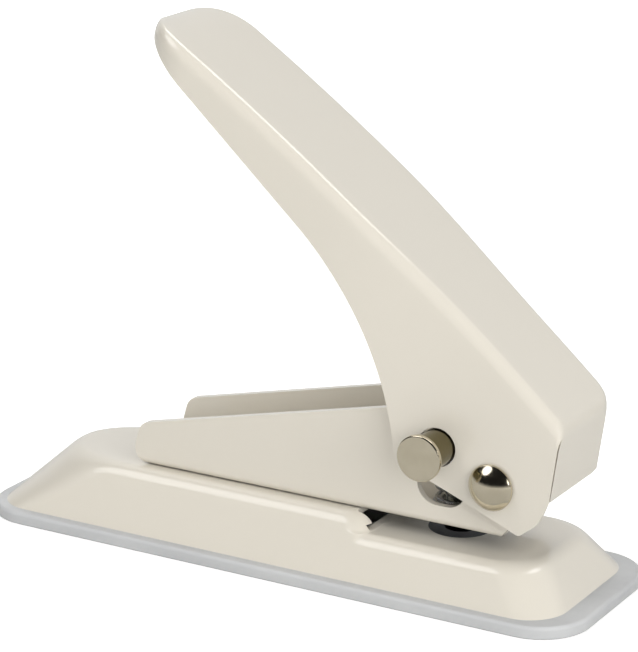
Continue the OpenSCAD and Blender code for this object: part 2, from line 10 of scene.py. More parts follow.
import bmesh
import bpy
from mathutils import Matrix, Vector


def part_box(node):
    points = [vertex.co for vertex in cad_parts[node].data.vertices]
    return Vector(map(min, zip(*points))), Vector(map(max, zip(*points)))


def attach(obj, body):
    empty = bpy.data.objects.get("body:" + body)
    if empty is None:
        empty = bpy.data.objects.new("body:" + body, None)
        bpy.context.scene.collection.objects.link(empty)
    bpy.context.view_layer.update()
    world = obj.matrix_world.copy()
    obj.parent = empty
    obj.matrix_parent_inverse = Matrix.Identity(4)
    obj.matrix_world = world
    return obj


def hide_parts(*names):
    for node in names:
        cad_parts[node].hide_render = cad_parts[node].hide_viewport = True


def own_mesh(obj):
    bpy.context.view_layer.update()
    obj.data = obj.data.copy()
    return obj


MM = 0.001

# Camera, fitted to the photograph's frame of 638 x 652 pixels
IMAGE_WIDTH = 638
FOCAL_PIXELS = 2800
SENSOR_WIDTH = 36
CAMERA_AZIMUTH = 30.36
CAMERA_ELEVATION = 17.37
CAMERA_DISTANCE = 516.2
CAMERA_TARGET = Vector((2.35, 0, 43.46))
LIGHT_TARGET = Vector((0, 0, 40))

# Tray and base
TRAY_L, TRAY_W, TRAY_CORNER = 126.6, 40, 10
RIM_H, TRAY_FLOOR = 2.4, 1.2
RIM_ROUND_TOP, RIM_ROUND_LOW = 0.7, 0.4
SKIRT_WALL, SKIRT_H, SKIRT_GAP = 1.2, 3.6, 0.3
SKIRT_FOOT, SKIRT_EDGE, SKIRT_ROOT = 0.5, 0.3, 0.2
LEDGE, FRONT_LEDGE, BASE_WALL = 2.2, 4.4, 1.2
BED_Z, JAW_Z = 13, 10
SIDE_LEAN, REAR_LEAN, FRONT_LEAN, STOP_LEAN = 30, 44, 36, 14
EDGE_R, BASE_CORNER, BED_OVAL, STOP_CORNER = 3.5, 7.8, 17, 4
CORNER_GROWTH, LEAST_REAR = 4, 0.3
STOP_FILLET = 0.7
PAPER_MARGIN = 13
SIDE_WALL, UNDERCUT, MOUTH_LIP, MOUTH_CORNER = 2.6, 0.9, 0.1, 0.5
DIE_D, RIVET_D = 12, 4
RIVET_PLACES = (-25.7, -8.7, 8.3)

# Lever, about the pivot
LEVER_W, GRIP_W, LEVER_WALL = 22, 26, 1.2
RIDGE_R = 2
LEVER_FRONT, LEVER_FRONT_H, LEVER_REACH = 13.1, 13.1, 73
RIDGE_RISE, RIDGE_CROWN = 0.91, 0.0017
TIP_R, TIP_DROP = 11, 4.6
HEEL = (-19.2, 1.8)
BEND_R, BEND_START, BEND_END, UNDER_RUN = 60, 3.2, 47.5, 70
FACE_LEAN, FRONT_BEND, FRONT_CORNER = 8.3, 4, 3
FLARE_SHARE = 0.42
FLANGE_LOW, FLANGE_ROUND, NEAR_SETBACK = -0.8, 5, 1.7
BROW, TOE = (8.9, -5.6), (5.4, -8.3)
BROW_R, TOE_R, HEEL_R = 4, 1, 3
FAR_FRONT, FAR_HUMP, FAR_STEP = (11.37, -0.52), (9.4, 0.6), (2.2, -6.6)
FAR_HUMP_R, FAR_STEP_R = 1.5, 2
SEAM_WIDE, SEAM_NARROW, SEAM_START, SEAM_YIELD = 0.38, 0.18, 0.9, 3

# Fasteners and fits
DOME_D, DOME_H, DOME_RIM, DOME_FOOT = 8.6, 2.6, 0.4, 0.15
PIVOT_D, PIVOT_TAIL = 5, 0.9
PIN_HEAD_D, PIN_HEAD_T, PIN_HEAD_ROUND, PIN_FACE_MARGIN = 8.6, 1.1, 0.32, 0.5
BARREL_D, BARREL_END, BARREL_FILLET = 6.8, 9.4, 0.25
SHANK_D, GROOVE, PIN_CHAMFER = 4.8, 0.4, 0.3
RUN_FIT, SEAT_FIT, SIDE_GAP = 0.06, 0.01, 0.2
SPRING_WIRE, SPRING_D, SPRING_TURNS = 0.7, 9, 3

# Small rounded edges, which the CAD leaves sharp
BASE_EDGE, LEVER_EDGE, FRAME_EDGE = 0.2, 0.16, 0.2

# Colours, in sRGB bytes, and the width over which the pin's painted shade begins
CREAM = (221, 215, 202), (223, 217, 204)
# Dark grey painted on downward faces as shade under the frame
UNDERSIDE_SHADE = (52, 54, 58)
GREY = (192, 193, 194), (203, 204, 204)
# Dark olive painted on the pin's barrel as shade beside the lever
BARREL_SHADE, BARREL_SHADE_FADE = (118, 110, 82), 0.3

# Two tones, range of roughness and size of the grain
NICKEL = (207, 198, 176), (214, 205, 184), (0.10, 0.18), 0.5
ZINC_STEEL = (170, 172, 176), (188, 189, 190), (0.24, 0.38), 0.3
TOOL_STEEL = (186, 189, 184), (198, 199, 194), (0.14, 0.2), 0.4
# Dark tones of the die: painted shade for the paper slot around it
DIE_SHADE = (52, 55, 62), (60, 62, 66), (0.36, 0.44), 0.5
SPRING_STEEL = (150, 152, 156), (172, 173, 175), (0.18, 0.3), 0.25
GRAIN_ALONG_Y, GRAIN_ALONG_Z = (1, 0.06, 1), (1, 1, 0.08)

# Floor: half its size, its colour, and its glow to the camera from near the object to far off, in metres
FLOOR_HALF = 3000
FLOOR_COLOUR = (0.66, 0.656, 0.645, 1)
FLOOR_GLOW_NEAR, FLOOR_GLOW_FAR = 0.6, 1
FLOOR_NEAR, FLOOR_FAR = 0.25, 0.8
WHITE = (1, 1, 1, 1)

# Sockets of a Mix node that mixes colours
MIX_SHARE, MIX_FIRST, MIX_SECOND, MIX_RESULT = 0, 6, 7, 2


def sind(angle):
    return math.sin(math.radians(angle))


def cosd(angle):
    return math.cos(math.radians(angle))


def tand(angle):
    return math.tan(math.radians(angle))


def ease(t):
    """Smooth step from 0 to 1."""
    t = min(max(t, 0), 1)
    return t * t * (3 - 2 * t)


def spread(a, b, steps):
    """Even values from a to b, both ends included."""
    return [a + (b - a) * i / steps for i in range(steps + 1)]


def oval(cx, cy, rx, ry, start, steps):
    """Quarter of an oval corner that turns from the start angle."""
    return [(cx + rx * cosd(a), cy + ry * sind(a)) for a in spread(start, start + 90, steps)]


def round_corner(before, corner, after, radius, steps):
    """Points of an arc that rounds a corner between its neighbours."""
    p = Vector(corner)
    u = (Vector(before) - p).normalized()
    v = (Vector(after) - p).normalized()
    half = u.angle(v) / 2
    centre = p + (u + v).normalized() * radius / math.sin(half)
    first = p + u * radius / math.tan(half) - centre
    last = p + v * radius / math.tan(half) - centre
    turn = first.angle_signed(last)
    start = math.atan2(first.y, first.x)
    angles = [start - turn * i / steps for i in range(steps + 1)]
    return [(centre.x + radius * math.cos(a), centre.y + radius * math.sin(a)) for a in angles]


# Meshes and pieces

def link(obj):
    bpy.context.scene.collection.objects.link(obj)
    return obj


def mesh_object(name, bm):
    """Object of a bmesh whose lengths are millimetres."""
    bmesh.ops.recalc_face_normals(bm, faces=bm.faces)
    bmesh.ops.scale(bm, vec=(MM, MM, MM), verts=bm.verts)
    mesh = bpy.data.meshes.new(name)
    bm.to_mesh(mesh)
    bm.free()
    return link(bpy.data.objects.new(name, mesh))


def bake_modifiers(obj):
    """Keeps what the modifiers make as the object's own mesh."""
    graph = bpy.context.evaluated_depsgraph_get()
    made = bpy.data.meshes.new_from_object(obj.evaluated_get(graph))
    obj.modifiers.clear()
    obj.data = made


def cut(obj, cutters):
    """Takes the cutters out of an object and removes them."""
    for cutter in cutters:
        modifier = obj.modifiers.new("cut", "BOOLEAN")
        modifier.object = cutter
        modifier.operation = "DIFFERENCE"
        modifier.solver = "EXACT"
    bake_modifiers(obj)
    for cutter in cutters:
        bpy.data.objects.remove(cutter)


def soften(obj, width, angle=40):
    """Small rounded edges, with even shading on the faces between them."""
    bevel = obj.modifiers.new("edges", "BEVEL")
    bevel.width = width * MM
    bevel.segments = 3
    bevel.limit_method = "ANGLE"
    bevel.angle_limit = math.radians(angle)
    bake_modifiers(obj)
    shade(obj, angle)


def shade(obj, angle=40):
    """Smooth shading up to an angle between faces."""
    obj.data.polygons.foreach_set("use_smooth", [True] * len(obj.data.polygons))
    obj.data.set_sharp_from_angle(angle=math.radians(angle))
    obj.modifiers.new("normals", "WEIGHTED_NORMAL").keep_sharp = True
    bake_modifiers(obj)


def finish_piece(obj, body, slot, material, *nodes):
    """Gives a piece its material and body, and lets it stand for CAD nodes."""
    obj.data.materials.clear()
    obj.data.materials.append(material)
    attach(obj, body)
    if nodes:
        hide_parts(*nodes)
    return obj


def skin(bm, rings):
    """Closed surface through a stack of rings that have the same number of points."""
    rows = [[bm.verts.new(p) for p in ring] for ring in rings]
    count = len(rings[0])
    for low, high in zip(rows, rows[1:]):
        for j in range(count):
            k = (j + 1) % count
            bm.faces.new((low[j], low[k], high[k], high[j]))
    bm.faces.new(list(reversed(rows[0])))
    bm.faces.new(rows[-1])
    bmesh.ops.remove_doubles(bm, verts=bm.verts, dist=1e-4)
    bmesh.ops.dissolve_degenerate(bm, edges=bm.edges, dist=1e-4)


def lathe(name, profile, origin, axis, segments=96):
    """Turned piece: the profile gives (radius, place along the axis), from one end to the other."""
    bm = bmesh.new()
    axis = Vector(axis).normalized()
    side = axis.orthogonal().normalized()
    other = axis.cross(side)
    turns = spread(0, 360, segments)[:-1]
    rings = [
        [Vector(origin) + axis * along + (side * cosd(a) + other * sind(a)) * radius for a in turns]
        for radius, along in profile
    ]
    skin(bm, rings)
    return mesh_object(name, bm)


def rod(origin, axis, diameter, start, end, segments=64):
    """Plain cutter for a round hole."""
    radius = diameter / 2
    return lathe("cutter", [(radius, start), (radius, end)], origin, axis, segments)


def corner_turn(radius, along, r, start, end, steps=5):
    """Rounded corner of a turned profile, about a centre at (radius, along)."""
    return [(radius + r * cosd(a), along + r * sind(a)) for a in spread(start, end, steps)]


# Materials

def linear(red, green, blue):
    """Linear colour of sRGB bytes."""
    def one(value):
        value /= 255
        return value / 12.92 if value <= 0.04045 else ((value + 0.055) / 1.055) ** 2.4
    return one(red), one(green), one(blue)


class NodeMaker:
    """Short way to add the nodes of a material or a world and to join them."""

    def __init__(self, tree):
        self.tree = tree

    def add(self, kind, **values):
        """New node, with values for its sockets or else for its settings."""
        node = self.tree.nodes.new(kind)
        for key, value in values.items():
            if key in node.inputs:
                node.inputs[key].default_value = value
            else:
                setattr(node, key, value)
        return node

    def join(self, output, node, key):
        self.tree.links.new(output, node.inputs[key])

    def ranged(self, value, low, high, start=0.25, end=0.75):
        """Smooth step from low to high while a value goes from start to end."""
        node = self.add("ShaderNodeMapRange", interpolation_type="SMOOTHSTEP")
        for key, number in (("From Min", start), ("From Max", end), ("To Min", low), ("To Max", high)):
            node.inputs[key].default_value = number
        self.join(value, node, "Value")
        return node.outputs["Result"]

    def along(self, vector, axis):
        """One of a vector's three parts."""
        split = self.add("ShaderNodeSeparateXYZ")
        self.join(vector, split, "Vector")
        return split.outputs[axis]

    def mix_shaders(self, share, first, second):
        node = self.add("ShaderNodeMixShader")
        for key, output in enumerate((share, first, second)):
            self.join(output, node, key)
        return node.outputs[0]


class Recipe(NodeMaker):
    """Node material around one Principled shader."""

    def __init__(self, name):
        self.material = bpy.data.materials.new(name)
        self.material.use_nodes = True
        super().__init__(self.material.node_tree)
        self.shader = self.tree.nodes["Principled BSDF"]
        self.place = self.add("ShaderNodeTexCoord").outputs["Object"]

    def settle(self, **values):
        """Constants on the shader's sockets, with underscores for spaces in their names."""
        for key, value in values.items():
            self.shader.inputs[key.replace("_", " ")].default_value = value

    def noise(self, size, detail, stretch=(1, 1, 1)):
        """Noise with features of about that size in millimetres."""
        mapping = self.add("ShaderNodeMapping", Scale=stretch)
        self.join(self.place, mapping, "Vector")
        node = self.add("ShaderNodeTexNoise", Scale=1 / (size * MM), Detail=detail)
        self.join(mapping.outputs["Vector"], node, "Vector")
        return node.outputs["Fac"]

    def tint(self, share, first, second):
        """Colour from one to another by a share; each is sRGB bytes or the output of a node."""
        node = self.add("ShaderNodeMix", data_type="RGBA")
        self.join(share, node, MIX_SHARE)
        for key, colour in ((MIX_FIRST, first), (MIX_SECOND, second)):
            if isinstance(colour, tuple):
                node.inputs[key].default_value = (*linear(*colour), 1)
            else:
                self.join(colour, node, key)
        return node.outputs[MIX_RESULT]

    def bump(self, *layers):
        """Bump from (height, strength, depth in millimetres) layers."""
        normal = None
        for height, strength, depth in layers:
            node = self.add("ShaderNodeBump", Strength=strength, Distance=depth * MM)
            self.join(height, node, "Height")
            if normal:
                self.join(normal, node, "Normal")
            normal = node.outputs["Normal"]
        self.join(normal, self.shader, "Normal")


def cream_enamel(name="cream_enamel", shade_below=False):
    """Stoved enamel: soft orange peel, a faint speckle and uneven gloss; faces below are painted dark grey as
    shade if asked.
    """
    r = Recipe(name)
    paint = r.tint(r.noise(0.15, 1), *CREAM)
    # Painted shade: faces that look down turn dark grey, for the shade in the paper slot
    if shade_below:
        facing = r.along(r.add("ShaderNodeNewGeometry").outputs["True Normal"], "Z")
        paint = r.tint(r.ranged(facing, 1, 0, -0.95, -0.8), paint, UNDERSIDE_SHADE)
    r.join(paint, r.shader, "Base Color")
    # Denoised renders show specks where a range of roughness crosses 0.274
    r.join(r.ranged(r.noise(0.4, 1), 0.28, 0.295), r.shader, "Roughness")
    r.bump((r.noise(1.4, 1), 0.02, 0.003))
    r.settle(Specular_IOR_Level=0.5, Coat_Weight=0.7, Coat_Roughness=0.05)
    return r.material


def grey_plastic():
    """Moulded tray plastic with a spark-eroded grain and faint flow marks."""
    r = Recipe("grey_plastic")
    flow = r.ranged(r.noise(9, 4, (0.35, 1, 1)), 0, 1)
    r.join(r.tint(flow, *GREY), r.shader, "Base Color")
    r.join(r.ranged(r.noise(1.4, 3), 0.42, 0.58), r.shader, "Roughness")
    r.bump((r.noise(0.22, 2), 0.18, 0.012), (r.noise(2.5, 2), 0.05, 0.02))
    r.settle(Subsurface_Weight=0.04, Subsurface_Radius=(MM, MM, MM))
    return r.material


def metal(name, first, second, rough, grain, stretch=(1, 1, 1), shade_from=None):
    """Metal with two close tones, a grain and uneven polish, with a dark olive painted shade past a place along Y.
    """
    r = Recipe(name)
    tone = r.tint(r.ranged(r.noise(2.4, 4), 0, 1), first, second)
    # Painted shade: past the given place along Y the tone turns dark olive
    if shade_from is not None:
        barrel_shaded = r.ranged(r.along(r.place, "Y"), 0, 1, shade_from * MM, (shade_from + BARREL_SHADE_FADE) * MM)
        tone = r.tint(barrel_shaded, tone, BARREL_SHADE)
    r.join(tone, r.shader, "Base Color")
    r.join(r.ranged(r.noise(grain, 3, stretch), *rough), r.shader, "Roughness")
    r.bump((r.noise(grain, 2, stretch), 0.05, 0.002))
    r.settle(Metallic=1)
    return r.material


def make_materials():
    """Materials by the names of the record's slots, and a dark metal for the die that paints the paper slot's
    shade.
    """
    return {
        "cream_enamel": cream_enamel(),
        "grey_plastic": grey_plastic(),
        "nickel": metal("nickel", *NICKEL),
        "zinc_steel": metal("zinc_steel", *ZINC_STEEL, GRAIN_ALONG_Y),
        "tool_steel": metal("tool_steel", *TOOL_STEEL, GRAIN_ALONG_Z),
        "die_shade_metal": metal("die_shade_metal", *DIE_SHADE),
        "spring_wire": metal("spring_wire", *SPRING_STEEL),
    }


# Base and tray

def lean_in(z, lean):
    """Inset of a leaning wall at height z."""
    return (z - RIM_H) * tand(lean)


def draw_in(z, top, r, lean):
    """Inset of a leaning wall at height z, with an upper edge of radius r under a flat top."""
    low = top - r * (1 - sind(lean))
    if z <= low:
        return lean_in(z, lean)
    up = (z - top + r) / r
    return lean_in(low, lean) + r * (cosd(lean) - math.sqrt(max(0, 1 - up * up)))


def base_ring(z, stop_x, inset, raised, foot=0.0, steps=12):
    """Outline of the base at height z; a raised one ends at the paper stop, a low one at the front."""
    r, jaw, bed = EDGE_R - inset, JAW_Z - inset, BED_Z - inset
    up = (z - RIM_H) / (BED_Z - RIM_H)
    half_w = TRAY_W / 2 - LEDGE - inset
    rear = -TRAY_L / 2 + LEDGE + inset + draw_in(z, bed, r, REAR_LEAN)
    stop = stop_x + lean_in(JAW_Z, STOP_LEAN) - inset - draw_in(z, bed, r, STOP_LEAN)
    width = half_w - draw_in(z, bed, r, SIDE_LEAN)
    turn_r = STOP_CORNER + foot
    cx, cy = stop - STOP_CORNER, width - STOP_CORNER
    rear_y = min(width - LEAST_REAR, BASE_CORNER + CORNER_GROWTH * up - inset)
    rear_x = BASE_CORNER + (BED_OVAL - BASE_CORNER) * up - inset
    if raised:
        jaw_width = 0
        front_part = [(stop + foot, cy * (i + 0.5) / (steps + 1)) for i in range(steps + 1)]
    else:
        jaw_width = half_w - draw_in(z, jaw, r, SIDE_LEAN)
        front = TRAY_L / 2 - FRONT_LEDGE - inset - draw_in(z, jaw, r, FRONT_LEAN)
        front_r = BASE_CORNER + up - inset
        front_part = oval(front - front_r, jaw_width - front_r, front_r, front_r, 0, steps)
    turn = [(x, min(max(y, jaw_width), width)) for x, y in oval(cx, cy, turn_r, turn_r, 0, steps)]
    rear_part = oval(rear + rear_x, width - rear_y, rear_x, rear_y, 90, steps)
    side = front_part + turn + rear_part
    return [(x, y, z) for x, y in side] + [(x, -y, z) for x, y in reversed(side)]


def base_rings(stop_x, inset, steps=9):
    """Rings of one skin of the base, from the rim over the jaw and the stop to the bed."""
    r, jaw, bed = EDGE_R - inset, JAW_Z - inset, BED_Z - inset
    rings = [base_ring(RIM_H, stop_x, inset, False, STOP_FILLET)]
    for a in spread(SIDE_LEAN, 90, steps):
        rings.append(base_ring(jaw - r * (1 - sind(a)), stop_x, inset, False, STOP_FILLET))
    for a in spread(0, 90, 5):
        height = STOP_FILLET * (1 - cosd(a))
        rings.append(base_ring(jaw + height, stop_x, inset, True, STOP_FILLET * (1 - sind(a))))
    for a in spread(STOP_LEAN, 90, steps)[1:]:
        rings.append(base_ring(bed - r * (1 - sind(a)), stop_x, inset, True))
    return rings


def make_base(material, punch_x, rivet_places):
    """Hollow base with holes for the die and the rivets, open to the front under its two side stops."""
    stop_x = punch_x - PAPER_MARGIN
    bm = bmesh.new()
    inner = base_rings(stop_x, BASE_WALL)
    skin(bm, list(reversed(inner)) + base_rings(stop_x, 0))
    base = mesh_object("base_shell", bm)
    up = (0, 0, 1)
    holes = [rod((punch_x, 0, 0), up, DIE_D + 2 * SEAT_FIT, RIM_H, BED_Z + 1)]
    for x in rivet_places:
        holes.append(rod((x, 0, 0), up, RIVET_D + 2 * SEAT_FIT, JAW_Z, BED_Z + 1))
    jaw_w = TRAY_W / 2 - LEDGE - lean_in(JAW_Z, SIDE_LEAN)
    low = JAW_Z + MOUTH_LIP
    for half_w, high in ((jaw_w - SIDE_WALL, low + UNDERCUT), (jaw_w - STOP_CORNER, BED_Z + 1)):
        bm = bmesh.new()
        rear, front = stop_x - EDGE_R, stop_x + EDGE_R
        skin(bm, [plate_ring(rear, front, half_w, MOUTH_CORNER, z) for z in (low, high)])
        holes.append(mesh_object("cutter", bm))
    cut(base, holes)
    soften(base, BASE_EDGE, 55)
    return finish_piece(base, "base", "cream_enamel", material, "base_plate")


def plate_ring(x0, x1, half_w, r, z, steps=12):
    """Outline of a plate with round corners."""
    right, left, y = x1 - r, x0 + r, half_w - r
    corners = ((right, y, 0), (left, y, 90), (left, -y, 180), (right, -y, 270))
    return [(x, y, z) for cx, cy, a in corners for x, y in oval(cx, cy, r, r, a, steps)]


def make_tray(material):
    """Tray with a rounded rim and a skirt that stands inside the base."""
    top = RIM_H + SKIRT_H
    gap = BASE_WALL + SKIRT_GAP
    rear = -TRAY_L / 2 + LEDGE + gap + lean_in(top, REAR_LEAN)
    front = TRAY_L / 2 - FRONT_LEDGE - gap - lean_in(top, FRONT_LEAN)
    half_w = TRAY_W / 2 - LEDGE - gap - lean_in(top, SIDE_LEAN)
    r = BASE_CORNER + LEDGE

    def skirt(inset, z):
        return plate_ring(rear + inset, front - inset, half_w - inset, r - inset, z)

    def rim(inset, z):
        half_l = TRAY_L / 2 - inset
        return plate_ring(-half_l, half_l, TRAY_W / 2 - inset, TRAY_CORNER - inset, z)

    rings = [skirt(SKIRT_WALL + SKIRT_FOOT, TRAY_FLOOR), skirt(SKIRT_WALL, TRAY_FLOOR + SKIRT_FOOT)]
    rings += [skirt(SKIRT_WALL, top - SKIRT_EDGE), skirt(SKIRT_WALL - SKIRT_EDGE, top)]
    rings += [skirt(SKIRT_EDGE, top), skirt(0, top - SKIRT_EDGE)]
    rings += [skirt(0, RIM_H + SKIRT_ROOT), skirt(-SKIRT_ROOT, RIM_H)]
    for a in spread(90, 0, 6):
        rings.append(rim(RIM_ROUND_TOP * (1 - cosd(a)), RIM_H - RIM_ROUND_TOP * (1 - sind(a))))
    for a in spread(0, 90, 4):
        rings.append(rim(RIM_ROUND_LOW * (1 - cosd(a)), RIM_ROUND_LOW * (1 - sind(a))))
    bm = bmesh.new()
    skin(bm, rings)
    tray = mesh_object("tray_moulding", bm)
    shade(tray, 50)
    return finish_piece(tray, "chip_tray", "grey_plastic", material, "chip_tray")


# Lever

RIDGE_SLOPE = math.degrees(math.atan(RIDGE_RISE))
SHEET_FALL = 1 / cosd(RIDGE_SLOPE)
BODY_START = LEVER_FRONT - FRONT_BEND
TIP_START = -LEVER_REACH + TIP_R
SIDE_STEPS, ARC_STEPS, TOP_STEPS = 12, 7, 10
BEND_STEPS, LENGTH_STEPS, TIP_STEPS, LEAST_STEP = 26, 56, 22, 0.04
SEAM_UP = 5
SEARCH_LOW, SEARCH_OVER = -40, 20


def ridge_z(x):
    """Height of the crowned ridge before its front bend."""
    s = LEVER_FRONT - x
    return LEVER_FRONT_H + RIDGE_RISE * s - RIDGE_CROWN * s * s


def top_z(x, inset):
    """Height of the lever's top, drawn in by an inset, with the bend down into the front face."""
    r = FRONT_BEND - inset
    tangent = BODY_START + r * sind(RIDGE_SLOPE)
    if x <= tangent:
        return ridge_z(x) - inset * SHEET_FALL
    fall = min(x - BODY_START, r)
    return ridge_z(tangent) - inset * SHEET_FALL - r * cosd(RIDGE_SLOPE) + math.sqrt(r * r - fall * fall)


def half_width(x):
    """Half of the lever's width, which flares out to the grip."""
    return (LEVER_W + (GRIP_W - LEVER_W) * ease(-x / (LEVER_REACH * FLARE_SHARE))) / 2


def corner_in(x, inset):
    """Draw-in of the far side near the front face, where its corner is round."""
    r = FRONT_CORNER - inset
    d = min(x - (LEVER_FRONT - FRONT_CORNER), r)
    return 0 if d <= 0 else r - math.sqrt(r * r - d * d)


def under_curve():
    """Curve under the grip, from the heel up, and its straight run to the tip."""
    cx = HEEL[0] - BEND_R * cosd(BEND_START)
    cz = HEEL[1] - BEND_R * sind(BEND_START)
    turns = spread(BEND_START, BEND_END, BEND_STEPS)
    curve = [(cx + BEND_R * cosd(a), cz + BEND_R * sind(a)) for a in turns]
    x, z = curve[-1]
    return curve + [(x - UNDER_RUN * sind(BEND_END), z + UNDER_RUN * cosd(BEND_END))]


def side_edges():
    """Lower edges (x, z) of the near and far side plates, from the front to the tip."""
    grip = under_curve()
    front = (LEVER_FRONT - NEAR_SETBACK, FLANGE_LOW)
    brow = round_corner(front, BROW, TOE, BROW_R, 7)
    toe = round_corner(BROW, TOE, HEEL, TOE_R, 7)
    hump = round_corner(FAR_FRONT, FAR_HUMP, FAR_STEP, FAR_HUMP_R, 6)
    step = round_corner(FAR_HUMP, FAR_STEP, HEEL, FAR_STEP_R, 5)
    shared = round_corner(TOE, HEEL, grip[1], HEEL_R, 7) + grip[2:]
    return [front] + brow + toe + shared, [FAR_FRONT] + hump + step + shared


def edge_height(edge, x):
    """Height of a lower edge at x; the edge runs from large x to small."""
    if x >= edge[0][0]:
        return edge[0][1]
    for (x1, z1), (x0, z0) in zip(edge, edge[1:]):
        if x >= x0:
            return z0 + (z1 - z0) * (x - x0) / max(x1 - x0, 1e-9)
    return edge[-1][1]


def solve(low, high, above):
    """Value between low and high where a test turns true."""
    for _ in range(50):
        middle = (low + high) / 2
        if above(middle):
            high = middle
        else:
            low = middle
    return (low + high) / 2


def lean_back(x, z, top):
    """Place along X at height z of a section that leans like the front face from its top."""
    return x - (top - z) * tand(FACE_LEAN)


def foot_of(x, top, edge):
    """Height where the leaning section at x, with its top at that height, meets a lower edge."""
    return solve(SEARCH_LOW, top + SEARCH_OVER, lambda z: z >= edge_height(edge, lean_back(x, z, top)))


def station_of(point):
    """Place along the ridge of the leaning section that holds a point (x, z)."""
    px, pz = point
    return solve(-LEVER_REACH, LEVER_FRONT, lambda x: lean_back(x, pz, top_z(x, 0)) >= px)


def stations(near):
    """Sections along the lever as (x, tip share), from the front face to the tip."""
    places = {LEVER_FRONT - FRONT_BEND * (1 - cosd(a)) for a in spread(0, 90, 10)}
    places |= {LEVER_FRONT - FRONT_CORNER * (1 - cosd(a)) for a in spread(0, 90, 8)}
    places |= {station_of(p) for p in near[1:-1]}
    places |= set(spread(BODY_START, TIP_START, LENGTH_STEPS))
    ordered = []
    for x in sorted(places, reverse=True):
        if x >= TIP_START and (not ordered or ordered[-1] - x > LEAST_STEP):
            ordered.append(x)
    return [(x, 0) for x in ordered] + [(TIP_START, t) for t in spread(0, 1, TIP_STEPS)[1:]]


def drawn_in(x, t, inset):
    """Place of a section on the skin that lies inside by an inset."""
    if x <= TIP_START:
        return TIP_START - (TIP_R - inset) * sind(90 * t)
    return x - inset * min((x - TIP_START) / (BODY_START - TIP_START), 1)


def cut_off(points, low):
    """Moves the points of an upright section that lie under a cut onto it."""
    above = [p for p in points if p[1] > low + 1e-6]
    if len(above) == len(points):
        return points
    if not above:
        return [(points[-1][0], low)] * len(points)
    (y0, z0), (y1, z1) = points[len(points) - len(above) - 1], above[0]
    foot = (y0 + (y1 - y0) * (low - z0) / (z1 - z0), low)
    return [foot] * (len(points) - len(above)) + above


def section(x, t, inset, near_edge, far_edge):
    """Points of one section, from the near foot over the top to the far foot."""
    fall = 1 - cosd(90 * t)
    half = half_width(x) - inset - (TIP_R - inset) * fall
    top = top_z(x, inset) - TIP_DROP * fall
    r = RIDGE_R - inset
    arc_z = top - r * SHEET_FALL

    def side(width, edge):
        low = foot_of(x, top, edge)
        upright = [(width, z) for z in spread(min(low, arc_z), arc_z, SIDE_STEPS)[:-1]]
        turn = [(width - r * (1 - cosd(a)), top - r * SHEET_FALL * (1 - sind(a)))
                for a in spread(0, 90, ARC_STEPS)]
        return cut_off(upright + turn, low)

    left = [(-y, z) for y, z in side(half, near_edge)]
    right = side(half - corner_in(x, inset), far_edge)
    across = list(zip(
        spread(left[-1][0], right[-1][0], TOP_STEPS)[1:-1],
        spread(left[-1][1], right[-1][1], TOP_STEPS)[1:-1],
    ))
    return [[lean_back(x, z, top), y, z] for y, z in left + across + right[::-1]]


def flange_low(y):
    """Lower edge of the front face, rounded up at its far end."""
    start = LEVER_W / 2 - FLANGE_ROUND
    if y <= start:
        return FLANGE_LOW
    return FLANGE_LOW + FLANGE_ROUND - math.sqrt(max(FLANGE_ROUND**2 - (y - start) ** 2, 0))


def seam_gap(z, top):
    """Half of the open corner beside the front face: it opens below the bend and narrows again."""
    opening = ease((top - z) / SEAM_START)
    share = (top - z) / (top - FLANGE_LOW)
    return opening * (SEAM_WIDE + (SEAM_NARROW - SEAM_WIDE) * share) / 2


def lever_skin(bm, inset):
    """One skin of the lever as vertices: the rows of its sections and the columns of its front face."""
    near_edge, far_edge = side_edges()
    rows = []
    for x, t in stations(near_edge):
        rows.append(section(drawn_in(x, t, inset), t, inset, near_edge, far_edge))
    front = rows[0]
    seam_top = front[SIDE_STEPS + SEAM_UP][2]
    top = max(z for x, y, z in front)
    face_x = LEVER_FRONT - inset
    columns = []
    contour = front[SIDE_STEPS:len(front) - SIDE_STEPS]
    for i, (x, y, z) in enumerate(contour):
        low = front[-1][2] if i == len(contour) - 1 else flange_low(y)
        column = [[lean_back(face_x, h, top), y, h] for h in spread(low, z, SIDE_STEPS)]
        columns.append(column)
    near = front[0][1]
    for point in sum(columns, []):
        beside = max(1 - (point[1] - near) / SEAM_YIELD, 0)
        point[1] += beside * seam_gap(point[2], seam_top)
    for point in [p for row in rows for p in row[:SIDE_STEPS + SEAM_UP]]:
        beside = max(1 - (lean_back(face_x, point[2], top) - point[0]) / SEAM_YIELD, 0)
        point[0] -= beside * seam_gap(point[2], seam_top)
    make = bm.verts.new
    return [[make(p) for p in row] for row in rows], [[make(p) for p in column] for column in columns]


def patch(bm, grid, flip):
    """Faces between the rows of a grid of vertices."""
    for first, second in zip(grid, grid[1:]):
        for j in range(len(first) - 1):
            corners = (first[j], first[j + 1], second[j + 1], second[j])
            bm.faces.new(corners[::-1] if flip else corners)


def rim_path(rows, columns):
    """Vertices round the whole edge of a skin, from the seam along both plates and back to it."""
    near = [row[0] for row in rows]
    far = [row[-1] for row in rows[::-1]]
    seam_up = columns[0] + [column[-1] for column in columns[1:SEAM_UP + 1]]
    seam_down = rows[0][SIDE_STEPS + SEAM_UP - 1:0:-1]
    under_face = [column[0] for column in columns[-2:0:-1]]
    return near + rows[-1][1:-1] + far + under_face + seam_up + seam_down


